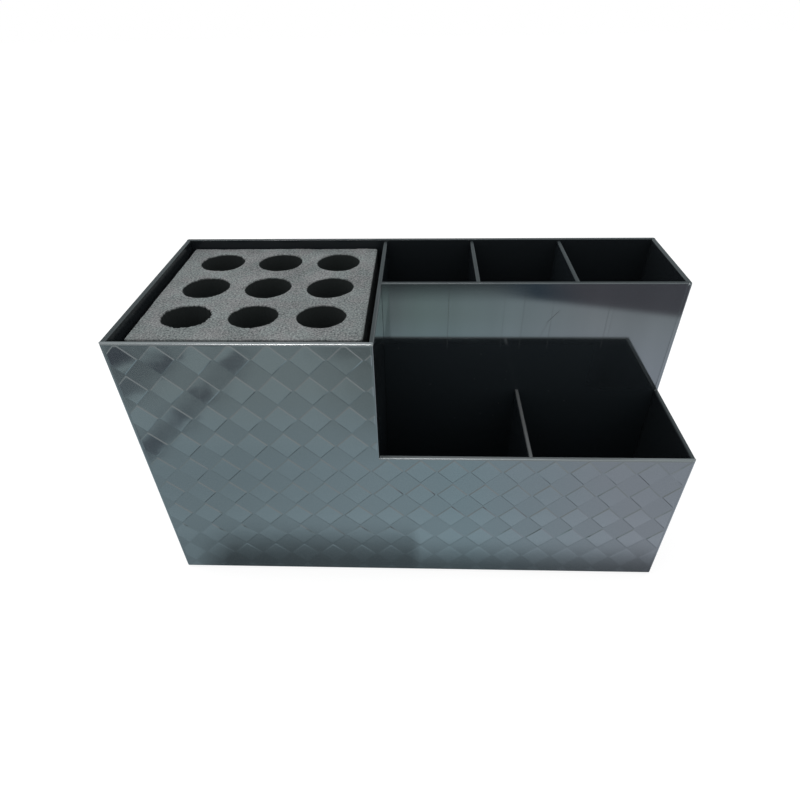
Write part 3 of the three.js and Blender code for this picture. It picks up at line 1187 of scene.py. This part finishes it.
stage = {
    "floorSize": 6,  # metres
    "cameraGlow": 0.86,  # the floor's own brightness to the camera
    # and its lit part, which keeps the shadow
    "cameraLit": 0.22,
    "litColour": 0.8,
    "ambient": 0.8,
    # the floor's painted glow that only the gloss shows, a painted reflection: close in front of
    # the holder and far in front of it
    "near": ((-0.12, (0.486, 0.66, 0.737, 1)), (-0.03, (0.59, 0.8, 0.9, 1)),
             (0.03, (0.6, 0.84, 0.955, 1)), (0.13, (0.735, 0.835, 0.96, 1))),
    "horizon": ((-0.2, (0.5, 0.62, 0.66, 1)), (0.0, (0.74, 0.83, 0.87, 1))),
    "far": ((-0.08, (0.5, 0.64, 0.675, 1)), (-0.03, (0.345, 0.44, 0.455, 1)),
            (0.0, (0.422, 0.586, 0.582, 1)), (0.075, (0.502, 0.656, 0.694, 1)),
            (0.12, (0.569, 0.7, 0.758, 1)), (0.165, (0.653, 0.745, 0.806, 1)),
            (0.23, (0.614, 0.7, 0.757, 1))),
    "farFrom": (-0.14, -0.24),  # where it starts to show, and where it is all that shows
    "horizonFrom": (-0.42, -0.5),
    # a dark band that slants away over the right half: lean and edges, and where it starts
    "band": ((0.125, (0.0715, 0.112, 0.151, 1)), (0.17, (0.174, 0.174, 0.205, 1))),
    "bandLean": 0.267,
    "bandNear": (0.3, 0.312),
    "bandFar": (0.42, 0.38),
    "bandLeft": (0.075, 0.12),
    # a wide dim patch before it, which ends at the same place on the right
    "patchLeft": (-0.1, -0.06),
    "patchNear": (-0.268, -0.312, 0, 0.85),
    "patchFar": (-0.4, -0.36),
    "rightEnd": (0.31, 0.285),
    # dimmer beside the holder and behind it
    "beside": (0.3, 0.4, 0, 0.45),
    "besideFrom": (-0.22, -0.14),
    "behind": (0.05, 0.12, 0, 0.45),
    "blot": (0.07, 0.085, 0.12, 1),
    "blotLength": 0.7,  # half width over half length
    "blotEdge": (1.08, 0.6),  # where a blot's edge starts and ends, in half widths
    # painted dark blots far in front on the left, seen only in the gloss: place, half width and
    # darkness of each
    "blots": ((-0.268, -0.273, 0.029, 0.86), (-0.23, -0.275, 0.023, 0.78),
              (-0.2374, -0.2277, 0.024, 0.6), (-0.1636, -0.2734, 0.021, 0.66),
              (-0.1745, -0.2277, 0.0185, 0.76), (-0.1833, -0.1911, 0.0165, 0.7),
              (-0.1905, -0.1612, 0.015, 0.75)),
    # the shadow along the case's foot: where it starts and ends, and how much light is left
    "shadeLow": (0.0, 0.024, 0.3),
    "shadeTower": (0.004, 0.037, 0.26),
    "shadeEnd": 0.8,  # light left before the tower's outer end
    "caseHalf": (0.13, 0.057),
    "towerSide": (0.003, -0.003),
    "towerFront": (-0.05, -0.056),
    "towerEnd": (-0.108, -0.128),
    "skyLeft": 0.68,  # the sky in the gloss: in front on the left,
    "skyRight": 0.8,  # in front on the right,
    "skyBack": 0.7,  # behind
    "skyTop": 1.0,  # and brightest overhead
    "skyTint": (0.86, 0.97, 1.0, 1),
    "skyAcross": (-0.5, 0),  # by the direction's parts: from left to right,
    "skyBehind": (-0.35, 0.3),  # from front to back
    "skyOver": (0.74, 0.9),  # and upwards
}


def fade(tree, value, name):
    return ramp(tree, value, *stage[name])


def mirroredFloor(tree):
    # painted reflections, glowing to mirror rays only: paler to the right, dimmer far in front,
    # beside and behind; far in front on the left some painted dark blots, on the right a dark
    # slanting band
    across = parts(tree, objectPlace(tree))
    x, y = across["X"], across["Y"]
    near, far, horizon, band = [
        colourAlong(tree, x, stage[name]) for name in ("near", "far", "horizon", "band")]
    plain = mixColour(tree, fade(tree, y, "farFrom"), near, far)
    # every blot is a diamond, longer away from the holder than across
    dark = 0.0
    for centreX, centreY, reach, depth in stage["blots"]:
        sides = calc(tree, "ABSOLUTE", calc(tree, "SUBTRACT", x, centreX))
        ends = calc(tree, "ABSOLUTE", calc(tree, "SUBTRACT", y, centreY))
        away = calc(tree, "ADD", sides, times(tree, ends, stage["blotLength"]))
        start, end = [reach * share for share in stage["blotEdge"]]
        dark = larger(tree, dark, ramp(tree, away, start, end, 0, depth))
    dimmed = mixColour(tree, dark, plain, stage["blot"])
    rightEnd = fade(tree, x, "rightEnd")
    patch = times(tree, fade(tree, x, "patchLeft"), fade(tree, y, "patchNear"),
                  fade(tree, y, "patchFar"), rightEnd)
    line = calc(tree, "SUBTRACT", times(tree, x, stage["bandLean"]), y)
    strip = times(tree, fade(tree, line, "bandNear"), fade(tree, line, "bandFar"),
                  fade(tree, x, "bandLeft"), rightEnd)
    banded = mixColour(tree, strip, mixColour(tree, patch, dimmed, black), band)
    ahead = mixColour(tree, fade(tree, y, "horizonFrom"), banded, horizon)
    sideways = fade(tree, calc(tree, "ABSOLUTE", x), "beside")
    beside = times(tree, sideways, fade(tree, y, "besideFrom"))
    return mixColour(tree, larger(tree, beside, fade(tree, y, "behind")), ahead, black)


def contactShade(tree):
    # the shadow on the floor along the foot of the case, wider and deeper before the tower
    across = parts(tree, objectPlace(tree))
    outside = []
    for way, half in zip("XY", stage["caseHalf"]):
        beyond = calc(tree, "SUBTRACT", calc(tree, "ABSOLUTE", across[way]), half)
        outside.append(larger(tree, beyond, 0.0))
    flat = put(tree, "CombineXYZ", outside).outputs[0]
    distance = put(tree, "VectorMath", [flat], operation="LENGTH").outputs["Value"]
    tower = times(tree, fade(tree, across["X"], "towerSide"), fade(tree, across["Y"], "towerFront"))
    low, high, dark = [
        mixValue(tree, tower, *pair) for pair in zip(stage["shadeLow"], stage["shadeTower"])]
    end = times(tree, tower, fade(tree, across["X"], "towerEnd"))
    left = mixValue(tree, end, dark, stage["shadeEnd"])
    return put(tree, "MapRange", [distance, low, high, left, 1.0],
               interpolation_type="SMOOTHSTEP").outputs[0]


def makeFloor():
    mesh = bpy.data.meshes.new("ground")
    half = stage["floorSize"] / 2
    mesh.from_pydata([(-half, -half, 0), (half, -half, 0), (half, half, 0), (-half, half, 0)], [],
                     [(0, 1, 2, 3)])
    ground = bpy.data.objects.new("ground", mesh)
    scene.collection.objects.link(ground)
    material = bpy.data.materials.new("white ground")
    tree = emptyTree(material)
    ray = put(tree, "LightPath").outputs
    seen = put(tree, "Emission", [white, stage["cameraGlow"]]).outputs[0]
    seenLit = put(tree, "BsdfDiffuse", [grey(stage["cameraLit"])]).outputs[0]
    toCamera = put(tree, "AddShader", [seen, seenLit]).outputs[0]
    # mirror rays see the floor glow with painted reflections and a painted shadow along the foot
    toMirror = put(tree, "Emission", [mirroredFloor(tree), contactShade(tree)]).outputs[0]
    plain = put(tree, "BsdfDiffuse", [grey(stage["litColour"])]).outputs[0]
    bright = larger(tree, ray["Is Glossy Ray"], ray["Is Transmission Ray"])
    inMirror = put(tree, "MixShader", [bright, plain, toMirror]).outputs[0]
    final = put(tree, "MixShader", [ray["Is Camera Ray"], inMirror, toCamera]).outputs[0]
    put(tree, "OutputMaterial", {"Surface": final})
    mesh.materials.append(material)


def makeSky():
    world = bpy.data.worlds.new("sky")
    tree = emptyTree(world)
    ray = put(tree, "LightPath").outputs
    way = parts(tree, put(tree, "TexCoord").outputs["Generated"])
    ahead = mixValue(tree, fade(tree, way["X"], "skyAcross"), stage["skyLeft"], stage["skyRight"])
    level = mixValue(tree, fade(tree, way["Y"], "skyBehind"), ahead, stage["skyBack"])
    sky = mixValue(tree, fade(tree, way["Z"], "skyOver"), level, stage["skyTop"])
    bright = larger(tree, ray["Is Glossy Ray"], ray["Is Transmission Ray"])
    mirror = mixValue(tree, bright, stage["ambient"], sky)
    strength = mixValue(tree, ray["Is Camera Ray"], mirror, 1.0)
    tint = mixColour(tree, bright, white, stage["skyTint"])
    light = put(tree, "Background", {"Color": tint, "Strength": strength})
    put(tree, "OutputWorld", {"Surface": light.outputs[0]})
    scene.world = world


lamps = {
    # place, what it faces, width and depth in metres, power
    "overheadLeft": ((-0.36, 0.0, 1.1), (0, 0, 0.1), 0.16, 0.22, 1.1),
    "overhead": ((-0.215, 0.0, 1.1), (0, 0, 0.1), 0.13, 0.22, 1.9),
    "overheadRight": ((0.035, 0.0, 1.1), (0, 0, 0.1), 0.12, 0.22, 0.65),
}


def makeLamps():
    for name, (place, target, width, depth, power) in lamps.items():
        data = bpy.data.lights.new(name, "AREA")
        data.shape = "RECTANGLE"
        data.size, data.size_y = width, depth
        data.energy = power
        lamp = bpy.data.objects.new(name, data)
        scene.collection.objects.link(lamp)
        way = (Vector(target) - Vector(place)).to_track_quat("-Z", "Y")
        lamp.matrix_world = Matrix.Translation(place) @ way.to_matrix().to_4x4()


makeCamera()
makeFloor()
makeSky()
makeLamps()
print("camera, floor and light are set")

sideFinish = makeGloss("gloss black sheet, sides and back", sideCoat, gloss["sideBody"])
makePlainSheets({
    "sheet": makeGloss("gloss black sheet"),
    "back_wall": sideFinish,
    "left_wall": sideFinish,
    "foam_bay_wall": makeGloss("gloss black sheet, free above the low tier", steppedCoat),
    "rear_bay_wall": makeGloss(
        "gloss black sheet with pressing marks", rearWallCoat, 0.0, wallMarks["waveDepth"],
        wallScratches, wallMarks["specular"]),
    # its bright rim is partly wear and partly painted light
    "front_bay_divider": makeGloss(
        "gloss black sheet, bright rim", rimCoat, 0.0, gloss["waveDepth"], rimWearAndLight),
})
makeRightWall(sideFinish)
print("sheets are made")
makeFront(makeFrontFinish())
print("front is made")
makeFoam(grainyFinish(
    "grey foam", foamFinish, foamColour, Specular_IOR_Level=foamFinish["specular"]))
print("foam is made")
makeFeet(grainyFinish("black rubber", pad, rubberColour))
print("feet are made")

scene.view_settings.view_transform = "Standard"
